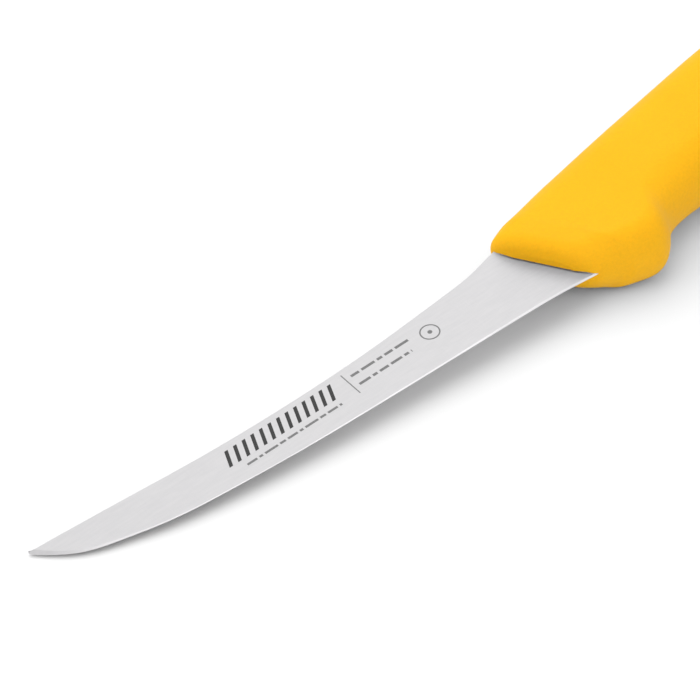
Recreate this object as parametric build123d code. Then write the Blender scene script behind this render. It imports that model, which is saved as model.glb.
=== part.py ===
"""Curved boning knife with an injection-moulded handle.

Two physical pieces: one steel piece (blade and tang together), and one moulding
that is injected round the tang and locked through its holes. A shallow groove in
the front face of the moulding runs round the blade.

The knife is drawn flat first: X along the blade towards the butt, Y towards the
spine, Z across the blade, with the heel of the cutting edge at the origin. It is
then turned into the pose in which it lies still on a table, on one side of the
handle with the tip of the blade just over the table, and moved so that the
origin is under the middle of the knife.
"""
from build123d import *
from math import cos, pi, radians, sin, tan
import os

# ---- blade, mm -------------------------------------------------------------
SHEET_THICKNESS = 2.0         # the tang, and the spine where it leaves the handle
HEEL_THICKNESS = 0.5          # behind the sharpened bevel at the heel
TIP_THICKNESS = 1.1           # of the ground sides, carried on to the very tip
BLANK_THICKNESS = 2.6         # before the sides are ground
EDGE_THICKNESS = 0.10         # flat left by honing
BEVEL_ANGLE = 22.0            # degrees to the middle plane, on each side
BEVEL_LIMIT = 0.7             # at most this share of the blade's height is bevel
SPINE_BREAK = 0.35            # corners taken off along the spine, on each side
BREAK_LIMIT = 0.2             # at most this share of the blade's height is spine break
SHUT_OFF_AHEAD = 1.25         # where the mould closes on the blade, before the slot's ends
SHUT_OFF_DEPTH = 0.03         # the sides are relieved this much from there backwards
CUTTER_SIZE = 400.0           # larger than the knife, for the blocks that cut its sides

# Pairs of points across the blade, edge then spine, from inside the handle to
# the tip. The second pair is the line where the blade comes out of the handle.
BLADE_STATIONS = [
    ((1.8, -0.1), (-10.5, 21.8)),
    ((0.0, 0.0), (-12.2, 21.6)),
    ((-8.0, 0.9), (-19.0, 19.9)),
    ((-22.0, 1.6), (-30.0, 18.5)),
    ((-40.0, 2.1), (-46.0, 17.2)),
    ((-60.0, 2.7), (-64.0, 16.5)),
    ((-80.0, 3.6), (-82.5, 16.6)),
    ((-98.0, 5.1), (-99.5, 17.4)),
    ((-112.0, 7.0), (-112.5, 18.5)),
    ((-122.0, 9.6), (-122.0, 19.3)),
    ((-130.0, 12.5), (-129.6, 19.9)),
    ((-135.5, 16.6), (-135.2, 20.3)),
    ((-137.6, 18.7), (-137.4, 20.45)),
    ((-138.9, 20.1), (-138.8, 20.6)),
]

# ---- tang, mm --------------------------------------------------------------
# Corners in order round the tang, with the radius of each.
TANG_OUTLINE = [((-9.8, 19.4), 0.5), ((4.0, 20.6), 6), ((40.0, 25.0), 20),
                ((97.0, 28.0), 4), ((97.0, 18.0), 4), ((40.0, 12.4), 20),
                ((12.0, 8.6), 6), ((0.5, 1.2), 0.5)]
TANG_HOLE_RADIUS = 3.0
TANG_HOLES = [(20.0, 15.8), (50.0, 19.4), (80.0, 22.0)]

# ---- handle, mm ------------------------------------------------------------
ARC_POINTS = 7                # points along each quarter of a section
FLAT_POINTS = 6               # points along each flat side
ARC_POWER = 2.15              # 2 gives quarter ellipses, more is squarer
SIDE_CROWN = 0.015            # how much the flat sides bulge, as a fraction

# Upper outline, the side that the blade's spine is on.
UPPER_LINE = [(-16.0, 22.8), (5.0, 27.0), (25.0, 31.0), (45.0, 34.1),
              (65.0, 36.9), (85.0, 38.4), (105.0, 37.5), (128.0, 33.2)]

# Front stations, parallel to the slot, from the front face round its edge: distance
# behind the face, lower end along the slot from the heel, upper end below the upper
# outline, half thickness, heights of the lower and the upper rounded end.
FACE_AHEAD = 0.95             # front face before the line between the slot's ends
FRONT_STATIONS = [
    (0.0, 5.7, 8.0, 1.9, 4.2, 4.6),
    (0.14, 3.7, 5.9, 3.2, 5.4, 5.9),
    (0.42, 1.9, 3.8, 4.3, 6.9, 7.5),
    (0.9, 0.3, 2.0, 5.3, 8.3, 9.0),
    (1.65, -1.2, 0.8, 6.2, 9.1, 9.8),
    (2.8, -2.8, 0.2, 7.0, 8.8, 10.0),
    (4.5, -4.8, 0.0, 7.8, 8.0, 10.0),
]
MOUTH_GAP = 0.25              # width of the groove round the blade in the front face
MOUTH_DEPTH = 0.6             # and its depth
MOUTH_ENDS = (0.45, 25.3)     # its ends, along the slot from the heel
MOUTH_LENGTH = 6.0            # of the wedge that cuts it, from its bottom forwards

# Grip stations: lower outline point, X on the upper outline, half thickness,
# height of the lower rounded end, height of the upper rounded end.
GRIP_STATIONS = [
    ((9.0, -4.2), -4.5, 8.7, 7.0, 10.0),
    ((12.4, -5.0), 0.0, 9.1, 6.8, 10.0),      # lowest point of the guard
    ((15.9, -4.9), 6.0, 9.3, 6.2, 9.5),
    ((18.4, -3.3), 11.0, 9.3, 7.0, 9.5),      # back of the guard
    ((20.5, -1.0), 15.5, 9.3, 9.0, 9.5),
    ((23.2, 1.1), 20.0, 9.4, 10.0, 9.5),
    ((28.0, 2.8), 25.5, 9.6, 9.8, 9.5),      # recess for the index finger
    ((35.5, 4.0), 32.5, 10.2, 9.4, 10.0),
    ((46.0, 4.9), 43.5, 11.2, 9.6, 10.5),
    ((60.0, 5.2), 57.5, 12.4, 11.0, 11.0),    # belly and palm swell
    ((78.0, 5.6), 76.0, 12.8, 12.5, 12.5),
    ((94.0, 6.9), 93.0, 12.1, 12.5, 12.5),
    ((105.0, 6.6), 105.5, 11.5, 12.0, 12.0),
    ((114.0, 4.4), 116.5, 11.0, 11.5, 11.5),
    ((119.0, 2.2), 122.0, 10.9, 11.5, 11.5),  # hooked butt
]
BUTT_LOWER = (124.5, 0.6)     # ends of the butt face, before rounding
BUTT_UPPER_X = 127.5
BUTT_ROUNDING = 5.0
BUTT_ANGLES = [25, 45, 62, 78, 90]            # steps round the butt's edge

# ---- pose at rest, degrees -------------------------------------------------
REST_PITCH = 3.39             # tip down
REST_ROLL = 0.53              # cutting edge down


def blade():
    """Blade from inside the handle to the tip, with flat ground sides."""
    # Each side is ground flat, in one plane through the heel, the spine and the tip.
    heel_edge, handle_spine = BLADE_STATIONS[1]
    heel = Vector(*heel_edge, HEEL_THICKNESS / 2)
    handle_corner = Vector(*handle_spine, SHEET_THICKNESS / 2)
    tip = Vector(*BLADE_STATIONS[-1][1], TIP_THICKNESS / 2)
    outwards = (tip - heel).cross(handle_corner - heel)
    if outwards.Z < 0:
        outwards = -outwards

    def ground_height(point):
        """Height of the ground side over the middle plane."""
        return heel.Z - ((point.X - heel.X) * outwards.X
                         + (point.Y - heel.Y) * outwards.Y) / outwards.Z

    slope = tan(radians(BEVEL_ANGLE))
    sections = []
    for edge_point, spine_point in BLADE_STATIONS:
        edge = Vector(*edge_point)
        spine = Vector(*spine_point)
        height = (spine - edge).length
        across = (spine - edge).normalized()
        bevel = min((BLANK_THICKNESS - EDGE_THICKNESS) / 2 / slope, BEVEL_LIMIT * height)
        shoulder = edge + across * bevel + Vector(0, 0, EDGE_THICKNESS / 2 + bevel * slope)
        thin_edge = edge + Vector(0, 0, EDGE_THICKNESS / 2)
        spine_height = ground_height(spine) - min(SPINE_BREAK, BREAK_LIMIT * height)
        corner = spine + Vector(0, 0, spine_height)
        rise = shoulder.Z - spine_height
        broken = corner - across * rise + Vector(0, 0, rise)
        upper = [corner, broken, shoulder, thin_edge]
        lower = [Vector(p.X, p.Y, -p.Z) for p in reversed(upper)]
        sections.append(Wire.make_polygon(upper + lower, close=True))
    blank = Solid.make_loft(sections)

    _, back = slot_directions()
    kept = Box(CUTTER_SIZE, CUTTER_SIZE, CUTTER_SIZE,
               align=(Align.CENTER, Align.CENTER, Align.MAX))
    relief = Pos(-SHUT_OFF_AHEAD, 0, -SHUT_OFF_DEPTH) * Box(
        CUTTER_SIZE, CUTTER_SIZE, CUTTER_SIZE, align=(Align.MIN, Align.CENTER, Align.MIN))
    for side in (1, -1):
        normal = Vector(outwards.X, outwards.Y, side * outwards.Z).normalized()
        ground = Plane(origin=(heel.X, heel.Y, side * heel.Z), z_dir=normal,
                       x_dir=back - normal * back.dot(normal))
        blank = blank & (ground * kept)
        blank = blank - ground * relief
    return blank.solid()


def tang():
    """Flat tang of the sheet's full thickness, with the holes that lock the moulding."""
    corners = [corner for corner, _ in TANG_OUTLINE]
    radii = [radius for _, radius in TANG_OUTLINE]
    outline = FilletPolyline(*corners, radius=radii, close=True)
    plate = extrude(make_face(outline.edges()), SHEET_THICKNESS / 2, both=True)
    for x, y in TANG_HOLES:
        plate -= Pos(x, y) * Cylinder(TANG_HOLE_RADIUS, 2 * SHEET_THICKNESS)
    return plate.solid()


def section(lower, upper, half_thickness, lower_height, upper_height):
    """Points round a flat-sided oval between two points of the outline."""
    height = (upper - lower).length
    quarter = []
    for i in range(ARC_POINTS):
        turn = pi / 2 * i / ARC_POINTS
        quarter.append((1 - cos(turn) ** (2 / ARC_POWER), sin(turn) ** (2 / ARC_POWER)))
    flat = height - lower_height - upper_height
    side = [(lower_height * up, wide) for up, wide in quarter]
    side += [(lower_height + flat * i / FLAT_POINTS, 1.0) for i in range(FLAT_POINTS + 1)]
    side += [(height - upper_height * up, wide) for up, wide in reversed(quarter)]
    middle = (height + lower_height - upper_height) / 2
    direction = (upper - lower).normalized()
    points = []
    for up, wide in side:
        crown = 1 - SIDE_CROWN * ((up - middle) / (height / 2)) ** 2
        points.append(lower + direction * up + Vector(0, 0, half_thickness * wide * crown))
    return points + [Vector(p.X, p.Y, -p.Z) for p in reversed(points[1:-1])]


def ring(points):
    """Closed smooth wire through the points of a section."""
    steps = [i / len(points) for i in range(len(points) + 1)]
    return Wire([Edge.make_spline(points, periodic=True, parameters=steps)])


def slot_directions():
    """Along the slot from the heel to the spine, and square to it towards the butt."""
    slot = Vector(*BLADE_STATIONS[1][1]).normalized()
    return slot, Vector(slot.Y, -slot.X)


def handle_outer():
    """Outer shape of the moulding, lofted from the front face to the butt."""
    upper_line = Edge.make_spline([Vector(*p) for p in UPPER_LINE])

    def upper_at(start, direction):
        """Where a line from start crosses the upper outline."""
        reach = Edge.make_line(start, start + direction * CUTTER_SIZE)
        return upper_line.find_intersection_points(reach)[0]

    slot, back = slot_directions()
    sections = []
    for distance, lower_end, upper_inset, half, lower_height, upper_height in FRONT_STATIONS:
        behind = back * (distance - FACE_AHEAD)
        sections.append(ring(section(behind + slot * lower_end,
                                     upper_at(behind, slot) - slot * upper_inset, half,
                                     lower_height, upper_height)))

    for lower, upper_x, half, lower_height, upper_height in GRIP_STATIONS:
        upper = upper_at(Vector(upper_x, 0), Vector(0, 1))
        sections.append(ring(section(Vector(*lower), upper, half,
                                     lower_height, upper_height)))

    lower = Vector(*BUTT_LOWER)
    upper = upper_at(Vector(BUTT_UPPER_X, 0), Vector(0, 1))
    up = (upper - lower).normalized()
    out = Vector(up.Y, -up.X)
    for angle in BUTT_ANGLES:
        inset = BUTT_ROUNDING * (1 - cos(radians(angle)))
        before_face = out * BUTT_ROUNDING * (sin(radians(angle)) - 1)
        sections.append(ring(section(lower + up * inset + before_face,
                                     upper - up * inset + before_face, half - inset,
                                     lower_height - inset, upper_height - inset)))
    return Solid.make_loft(sections)


def slot_mouth():
    """Wedge that cuts the groove round the blade into the front face."""
    slot, back = slot_directions()
    low, high = MOUTH_ENDS
    low_half = HEEL_THICKNESS / 2 + MOUTH_GAP
    high_half = SHEET_THICKNESS / 2 + MOUTH_GAP
    outline = Polyline((low, -low_half), (high, -high_half), (high, high_half),
                       (low, low_half), close=True)
    bottom = Plane(origin=back * (MOUTH_DEPTH - FACE_AHEAD), x_dir=slot, z_dir=-back)
    return extrude(bottom * make_face(outline), MOUTH_LENGTH).solid()


steel = blade().fuse(tang())
moulding = handle_outer().cut(steel).cut(slot_mouth())

at_rest = Rot(REST_ROLL, 0, 0) * Rot(0, -REST_PITCH, 0)
steel = at_rest * steel
moulding = at_rest * moulding
box = Compound([steel, moulding]).bounding_box()
to_origin = Pos(-box.center().X, -box.center().Y, -box.min.Z)
os.makedirs("parts", exist_ok=True)
export_step(to_origin * steel, "parts/blade.step")
export_step(to_origin * moulding, "parts/handle.step")
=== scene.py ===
"""Looks of the curved boning knife: steel, moulded plastic, the etched marks, and a soft studio."""
from math import cos, pi, radians, sin

import bpy
from mathutils import Matrix, Vector


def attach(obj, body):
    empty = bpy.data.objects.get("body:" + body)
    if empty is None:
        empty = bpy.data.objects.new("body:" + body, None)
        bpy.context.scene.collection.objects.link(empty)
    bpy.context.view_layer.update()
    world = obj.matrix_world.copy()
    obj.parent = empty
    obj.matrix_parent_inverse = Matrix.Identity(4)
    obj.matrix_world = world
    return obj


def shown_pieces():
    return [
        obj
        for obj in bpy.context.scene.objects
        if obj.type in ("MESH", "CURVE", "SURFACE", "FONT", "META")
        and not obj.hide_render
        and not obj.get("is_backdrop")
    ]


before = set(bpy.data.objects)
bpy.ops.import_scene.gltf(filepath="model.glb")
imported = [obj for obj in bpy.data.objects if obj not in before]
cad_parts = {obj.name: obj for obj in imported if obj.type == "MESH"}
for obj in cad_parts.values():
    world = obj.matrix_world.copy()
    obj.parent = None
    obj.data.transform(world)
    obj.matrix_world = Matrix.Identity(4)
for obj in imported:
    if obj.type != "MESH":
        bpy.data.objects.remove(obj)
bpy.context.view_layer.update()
blade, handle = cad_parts["blade"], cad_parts["handle"]
MM = 0.001

# ---- the knife's own axes: X towards the butt, Y towards the spine, Z across the blade ----
REST_PITCH = 3.39             # degrees, as the CAD lays the knife on the table
REST_ROLL = 0.53
BLADE_TIP = Vector((-138.9, 20.1, 0)) * MM
SAME_PLACE = 1e-6             # points this close to the far end belong to it
SIDE_FACING = 0.99            # least Z of the normal of the blade's upper flat side
SIDE_BEFORE = -0.03           # X that the flat side's face lies ahead of

turn = (Matrix.Rotation(radians(REST_ROLL), 4, "X")
        @ Matrix.Rotation(radians(-REST_PITCH), 4, "Y"))
blade_points = [turn.inverted() @ v.co for v in blade.data.vertices]
tip_end = min(p.x for p in blade_points)
tip_points = [p for p in blade_points if p.x < tip_end + SAME_PLACE]
tip_middle = sum(tip_points, Vector()) / len(tip_points)
knife = turn @ Matrix.Translation(tip_middle - BLADE_TIP)


def ground_side():
    """Point and normal, along the knife's own axes, of the blade's upper flat side."""
    to_knife = knife.inverted()
    best = None
    for face in blade.data.polygons:
        normal = to_knife.to_3x3() @ face.normal
        centre = to_knife @ face.center
        if (normal.z > SIDE_FACING and centre.x < SIDE_BEFORE
                and (best is None or face.area > best[0])):
            best = (face.area, centre, normal)
    return best[1], best[2]


side_point, side_normal = ground_side()


def on_side(x, y, lift):
    """A point on the blade's upper side; x, y and lift in mm along the knife's axes."""
    x, y = x * MM, y * MM
    z = side_point.z - (side_normal.x * (x - side_point.x)
                        + side_normal.y * (y - side_point.y)) / side_normal.z
    return knife @ (Vector((x, y, z)) + side_normal * lift * MM)


# ---- finishes. Scales are per metre, depths and radii in metres ----
STEEL_COLOURS = (0.735, 0.728, 0.738, 1), (0.765, 0.755, 0.765, 1)
STEEL_CLOUD = 38.0
STEEL_LINES = (5200, 160, 160)          # fine along the knife, long across it
STEEL_LINE_TINT = (0.98, 1.0)
STEEL_LINE_STRENGTH, STEEL_LINE_DEPTH = 0.10, 0.00004
STEEL_SCRATCHES = (90, 2600, 90)
STEEL_ROUGHNESS = (0.30, 0.37)
STEEL_STRETCH = 0.7                     # of the gloss, along the blade

PLASTIC_COLOURS = (0.925, 0.462, 0.0080, 1), (0.945, 0.480, 0.0095, 1)
PLASTIC_CLOUD = 55.0
PLASTIC_GRAIN = 1500.0
PLASTIC_GRAIN_TINT = (0.94, 1.0)
PLASTIC_GRAIN_STRENGTH, PLASTIC_GRAIN_DEPTH = 0.16, 0.0001
PLASTIC_ROUGHNESS = (0.50, 0.60)
PLASTIC_SPECULAR = 0.10
PLASTIC_SUBSURFACE = 0.15
PLASTIC_RADIUS = (0.002, 0.001, 0.0004)
PLASTIC_PAINTED_BOUNCE_GREY = 0.62                   # painted grey that reflections in the steel and bounce light on the floor see instead of the yellow

ETCH_SPECKLE = 4000.0
ETCH_DARK, ETCH_FINE = (0.050, 0.075), (0.22, 0.30)
ETCH_METAL, ETCH_ROUGHNESS = 0.4, 0.6

FLOOR_GREY = 0.62
FLOOR_ROUGHNESS = 0.9
FLOOR_SPECULAR = 0.1


def material(name):
    """A material with a Principled shader, its node tree, the shader and the output."""
    m = bpy.data.materials.new(name)
    m.use_nodes = True
    tree = m.node_tree
    tree.nodes.clear()
    out = tree.nodes.new("ShaderNodeOutputMaterial")
    bsdf = tree.nodes.new("ShaderNodeBsdfPrincipled")
    tree.links.new(bsdf.outputs["BSDF"], out.inputs["Surface"])
    return m, tree, bsdf, out


def node(tree, kind, **values):
    """A new node; values set its own properties, or its input sockets by name."""
    n = tree.nodes.new(kind)
    for key, value in values.items():
        if hasattr(n, key):
            setattr(n, key, value)
        else:
            n.inputs[key.replace("_", " ")].default_value = value
    return n


def noise(tree, vector=None, **values):
    """Noise over vector, or over the surface's default coordinates."""
    n = node(tree, "ShaderNodeTexNoise", **values)
    if vector is not None:
        tree.links.new(vector, n.inputs["Vector"])
    return n.outputs["Fac"]


def object_axes(tree):
    return tree.nodes.new("ShaderNodeTexCoord").outputs["Object"]


def own_axes(tree, scale):
    """Object coordinates turned to the knife's own axes and scaled, so grain runs with the knife."""
    mapping = node(tree, "ShaderNodeMapping", Rotation=(0, radians(REST_PITCH), 0), Scale=scale)
    tree.links.new(object_axes(tree), mapping.inputs["Vector"])
    return mapping.outputs["Vector"]


def grey(v):
    return (v, v, v, 1)


def ramp(tree, source, low, high, colours):
    """Colours from the first at low to the second at high of source."""
    r = tree.nodes.new("ShaderNodeValToRGB")
    for element, position, colour in zip(r.color_ramp.elements, (low, high), colours):
        element.position, element.color = position, colour
    tree.links.new(source, r.inputs["Fac"])
    return r.outputs["Color"]


def grey_ramp(tree, source, low, high, values):
    return ramp(tree, source, low, high, [grey(v) for v in values])


def tinted(tree, colour, tint, bsdf):
    """Base colour of bsdf: colour times tint."""
    mix = node(tree, "ShaderNodeMix", data_type="RGBA", blend_type="MULTIPLY")
    factor, first, second, result = mix.inputs[0], mix.inputs[6], mix.inputs[7], mix.outputs[2]
    factor.default_value = 1.0
    tree.links.new(colour, first)
    tree.links.new(tint, second)
    tree.links.new(result, bsdf.inputs["Base Color"])


def bumped(tree, height, strength, depth, bsdf):
    bump = node(tree, "ShaderNodeBump", Strength=strength, Distance=depth)
    tree.links.new(height, bump.inputs["Height"])
    tree.links.new(bump.outputs["Normal"], bsdf.inputs["Normal"])


def steel():
    """Satin steel: fine grinding lines square to the edge, faint clouding and hairline scratches."""
    m, tree, bsdf, _ = material("ground_steel")
    lines = noise(tree, own_axes(tree, STEEL_LINES), Scale=1.0, Detail=3.0, Roughness=0.6)
    cloud = noise(tree, Scale=STEEL_CLOUD, Detail=2.0)
    scratches = noise(tree, own_axes(tree, STEEL_SCRATCHES), Scale=1.0, Detail=1.0)
    tinted(tree, ramp(tree, cloud, 0.3, 0.7, STEEL_COLOURS),
           grey_ramp(tree, lines, 0.3, 0.7, STEEL_LINE_TINT), bsdf)
    bsdf.inputs["Metallic"].default_value = 1.0
    tree.links.new(grey_ramp(tree, scratches, 0.35, 0.75, STEEL_ROUGHNESS), bsdf.inputs["Roughness"])
    bumped(tree, lines, STEEL_LINE_STRENGTH, STEEL_LINE_DEPTH, bsdf)
    # ground square to the edge, so gloss spreads along the blade
    along = node(tree, "ShaderNodeCombineXYZ", X=cos(radians(REST_PITCH)), Z=sin(radians(REST_PITCH)))
    tree.links.new(along.outputs["Vector"], bsdf.inputs["Tangent"])
    bsdf.inputs["Anisotropic"].default_value = STEEL_STRETCH
    return m


def plastic():
    """Yellow polypropylene with a fine spark-eroded grain; its reflection in the steel and its bounce
    light on the floor are painted grey.
    """
    m, tree, bsdf, out = material("yellow_plastic")
    coords = object_axes(tree)
    grain = noise(tree, coords, Scale=PLASTIC_GRAIN, Detail=3.0, Roughness=0.65)
    cloud = noise(tree, coords, Scale=PLASTIC_CLOUD, Detail=3.0)
    tinted(tree, ramp(tree, cloud, 0.3, 0.7, PLASTIC_COLOURS),
           grey_ramp(tree, grain, 0.35, 0.6, PLASTIC_GRAIN_TINT), bsdf)
    tree.links.new(grey_ramp(tree, grain, 0.3, 0.7, PLASTIC_ROUGHNESS), bsdf.inputs["Roughness"])
    bsdf.inputs["Specular IOR Level"].default_value = PLASTIC_SPECULAR
    bsdf.inputs["Subsurface Weight"].default_value = PLASTIC_SUBSURFACE
    bsdf.inputs["Subsurface Radius"].default_value = PLASTIC_RADIUS
    bumped(tree, grain, PLASTIC_GRAIN_STRENGTH, PLASTIC_GRAIN_DEPTH, bsdf)
    # painted reflection and bounce: rays other than camera rays see a plain grey diffuse, so the
    # handle's reflection in the steel and the light it throws on the floor are painted neutral grey
    painted_grey_bsdf = node(tree, "ShaderNodeBsdfDiffuse", Color=grey(PLASTIC_PAINTED_BOUNCE_GREY))
    path = tree.nodes.new("ShaderNodeLightPath")
    choose = tree.nodes.new("ShaderNodeMixShader")
    factor, bounced, seen = choose.inputs
    tree.links.new(path.outputs["Is Camera Ray"], factor)
    tree.links.new(painted_grey_bsdf.outputs["BSDF"], bounced)
    tree.links.new(bsdf.outputs["BSDF"], seen)
    tree.links.new(choose.outputs["Shader"], out.inputs["Surface"])
    return m


def etched(name, greys):
    """Electro-etched steel: dull grey, a little uneven."""
    m, tree, bsdf, _ = material(name)
    speckle = noise(tree, object_axes(tree), Scale=ETCH_SPECKLE, Detail=2.0)
    tree.links.new(grey_ramp(tree, speckle, 0.3, 0.7, greys), bsdf.inputs["Base Color"])
    bsdf.inputs["Metallic"].default_value = ETCH_METAL
    bsdf.inputs["Roughness"].default_value = ETCH_ROUGHNESS
    return m


for shown, finish in ((blade, steel()), (handle, plastic())):
    for place in shown.material_slots:
        place.material = finish
    if not shown.material_slots:
        shown.data.materials.append(finish)
mark_dark = etched("etched_dark", ETCH_DARK)
mark_fine = etched("etched_fine", ETCH_FINE)

# ---- etched marks, mm: plain figures on the blade's upper side, no letters ----
MARK_LIFT = 0.012
MARK_SINK = 0.02

HATCH_START, HATCH_STEP, HATCH_BARS = -94.0, 2.3, 13
HATCH_WIDTH, HATCH_LEAN = 0.9, 1.8
HATCH_LOW, HATCH_HIGH = 10.1, 14.6

# Rows of dashes: start, end, low side, high side, lengths in turn, gap.
RULE = (-90.7, -65.3, 7.9, 8.5, (2.6, 0.9, 3.4, 1.5), 0.6)
UPPER_ROW = (-59.0, -42.5, 12.9, 13.6, (2.2, 3.6, 1.4), 0.7)
LOWER_ROW = (-59.0, -44.5, 9.8, 10.5, (3.0, 1.2, 2.4), 0.7)

DIVIDER = (-60.6, 8.0, -60.35, 15.0)    # one corner and the corner across from it

RING_CENTRE = (-38.2, 11.8)
RING_OUTER, RING_INNER, RING_POINTS = 2.34, 2.02, 48
DOT_RADIUS, DOT_POINTS = 0.55, 20


def bar(x0, y0, x1, y1, lean=0.0):
    """Corners of an upright bar, its top shifted by lean."""
    return [(x0, y0), (x1, y0), (x1 + lean, y1), (x0 + lean, y1)]


def disc(centre, radius, count):
    x, y = centre
    return [(x + radius * cos(2 * pi * i / count), y + radius * sin(2 * pi * i / count))
            for i in range(count)]


def dashes(x0, x1, y0, y1, lengths, gap):
    """A row of short bars from x0 to x1, their lengths repeating."""
    shapes, x, i = [], x0, 0
    while x < x1:
        end = min(x + lengths[i % len(lengths)], x1)
        shapes.append(bar(x, y0, end, y1))
        x, i = end + gap, i + 1
    return shapes


def etch(name, finish, shapes, rings=()):
    """Thin plates let into the blade's side: solid shapes, and rings of two equal loops."""
    verts, faces = [], []
    for shape in shapes:
        n, base = len(shape), len(verts)
        for lift in (-MARK_SINK, MARK_LIFT):
            verts += [on_side(x, y, lift) for x, y in shape]
        faces.append([base + i for i in reversed(range(n))])
        faces.append([base + n + i for i in range(n)])
        faces += [[base + i, base + (i + 1) % n, base + n + (i + 1) % n, base + n + i]
                  for i in range(n)]
    for outer, inner in rings:
        n, base = len(outer), len(verts)
        for lift in (-MARK_SINK, MARK_LIFT):
            for loop in (outer, inner):
                verts += [on_side(x, y, lift) for x, y in loop]
        low_out, low_in, high_out, high_in = (base + k * n for k in range(4))
        for i in range(n):
            j = (i + 1) % n
            faces += [[high_out + i, high_out + j, high_in + j, high_in + i],
                      [low_out + j, low_out + i, low_in + i, low_in + j],
                      [low_out + i, low_out + j, high_out + j, high_out + i],
                      [low_in + j, low_in + i, high_in + i, high_in + j]]
    mesh = bpy.data.meshes.new(name)
    mesh.from_pydata([tuple(v) for v in verts], [], faces)
    mesh.materials.append(finish)
    piece = bpy.data.objects.new(name, mesh)
    bpy.context.scene.collection.objects.link(piece)
    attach(piece, "root")


hatch_starts = [HATCH_START + HATCH_STEP * i for i in range(HATCH_BARS)]
etch("etched_hatch", mark_dark,
     [bar(x, HATCH_LOW, x + HATCH_WIDTH, HATCH_HIGH, HATCH_LEAN) for x in hatch_starts])
etch("etched_rule", mark_fine, dashes(*RULE))
etch("etched_divider", mark_fine, [bar(*DIVIDER)])
etch("etched_rows", mark_fine, dashes(*UPPER_ROW) + dashes(*LOWER_ROW))
etch("etched_ring", mark_fine, [disc(RING_CENTRE, DOT_RADIUS, DOT_POINTS)],
     rings=[(disc(RING_CENTRE, RING_OUTER, RING_POINTS),
             disc(RING_CENTRE, RING_INNER, RING_POINTS))])

# ---- studio. Azimuth 0 is at -Y, 90 at +X ----
FLOOR_REACH = 3.0
WORLD_STRENGTH = 0.75
# Square panels: name, azimuth, elevation, distance, size, power.
FLOOR_LIGHTS = [("floor_key", 208, 57, 1.4, 2.8, 46),
                ("floor_fill", 20, 35, 1.4, 1.5, 8)]
HANDLE_LIGHTS = [("handle_top", 200, 72, 1.2, 0.9, 8),
                 ("handle_fill", -45, 25, 1.2, 0.8, 1.6)]
BLADE_LIGHTS = [("blade_back", 150, 42, 1.4, 1.1, 1.1),
                ("bevel_top", 88, 76, 1.2, 0.6, 1.1),
                ("tip_top", 190, 78, 1.2, 0.6, 0.7)]

VIEW_AZIMUTH = -32.71
VIEW_ELEVATION = 41.53
VIEW_ROLL = -6.83
VIEW_DISTANCE = 0.68745
VIEW_AIM = Vector((-0.04441, 0.00931, 0))
LENS, SENSOR_WIDTH = 160, 36            # mm
NEAREST, FARTHEST = 0.01, 20

scene = bpy.context.scene
scene.view_settings.view_transform = "Standard"


def direction(azimuth, elevation):
    """Unit vector from the object towards a light or the camera."""
    a, e = radians(azimuth), radians(elevation)
    return Vector((sin(a) * cos(e), -cos(a) * cos(e), sin(e)))


def panel(name, azimuth, elevation, distance, size, power, lit):
    """Soft square light on the objects in lit."""
    data = bpy.data.lights.new(name, "AREA")
    data.shape, data.size, data.energy = "SQUARE", size, power
    lamp = bpy.data.objects.new(name, data)
    back = direction(azimuth, elevation)
    lamp.location = back * distance
    lamp.rotation_euler = (-back).to_track_quat("-Z", "Y").to_euler()
    scene.collection.objects.link(lamp)
    lamp.light_linking.receiver_collection = lit


floor_mesh = bpy.data.meshes.new("studio_floor")
corners = [(-1, -1), (1, -1), (1, 1), (-1, 1)]
floor_mesh.from_pydata([(x * FLOOR_REACH, y * FLOOR_REACH, 0) for x, y in corners],
                       [], [(0, 1, 2, 3)])
floor = bpy.data.objects.new("studio_floor", floor_mesh)
scene.collection.objects.link(floor)
pale, _, pale_bsdf, _ = material("pale_floor")
pale_bsdf.inputs["Base Color"].default_value = grey(FLOOR_GREY)
pale_bsdf.inputs["Roughness"].default_value = FLOOR_ROUGHNESS
pale_bsdf.inputs["Specular IOR Level"].default_value = FLOOR_SPECULAR
floor_mesh.materials.append(pale)
floor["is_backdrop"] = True

world = bpy.data.worlds.new("studio")
world.use_nodes = True
background = world.node_tree.nodes["Background"]
background.inputs["Color"].default_value = grey(1.0)
background.inputs["Strength"].default_value = WORLD_STRENGTH
scene.world = world

for group_name, lights, objects in (
        ("lit_floor", FLOOR_LIGHTS, [floor]),
        ("lit_handle", HANDLE_LIGHTS, [handle]),
        ("lit_blade", BLADE_LIGHTS, [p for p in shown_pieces() if p is not handle])):
    group = bpy.data.collections.new(group_name)
    for thing in objects:
        group.objects.link(thing)
    for light in lights:
        panel(*light, group)

# ---- camera ----
back = direction(VIEW_AZIMUTH, VIEW_ELEVATION)
camera_data = bpy.data.cameras.new("camera")
camera_data.lens = LENS
camera_data.sensor_width = SENSOR_WIDTH
camera_data.clip_start, camera_data.clip_end = NEAREST, FARTHEST
camera = bpy.data.objects.new("camera", camera_data)
camera.rotation_mode = "QUATERNION"
camera.location = VIEW_AIM + back * VIEW_DISTANCE
camera.rotation_quaternion = (Matrix.Rotation(radians(VIEW_ROLL), 3, back)
                              @ (-back).to_track_quat("-Z", "Y").to_matrix()).to_quaternion()
scene.collection.objects.link(camera)
scene.camera = camera

bpy.context.view_layer.update()
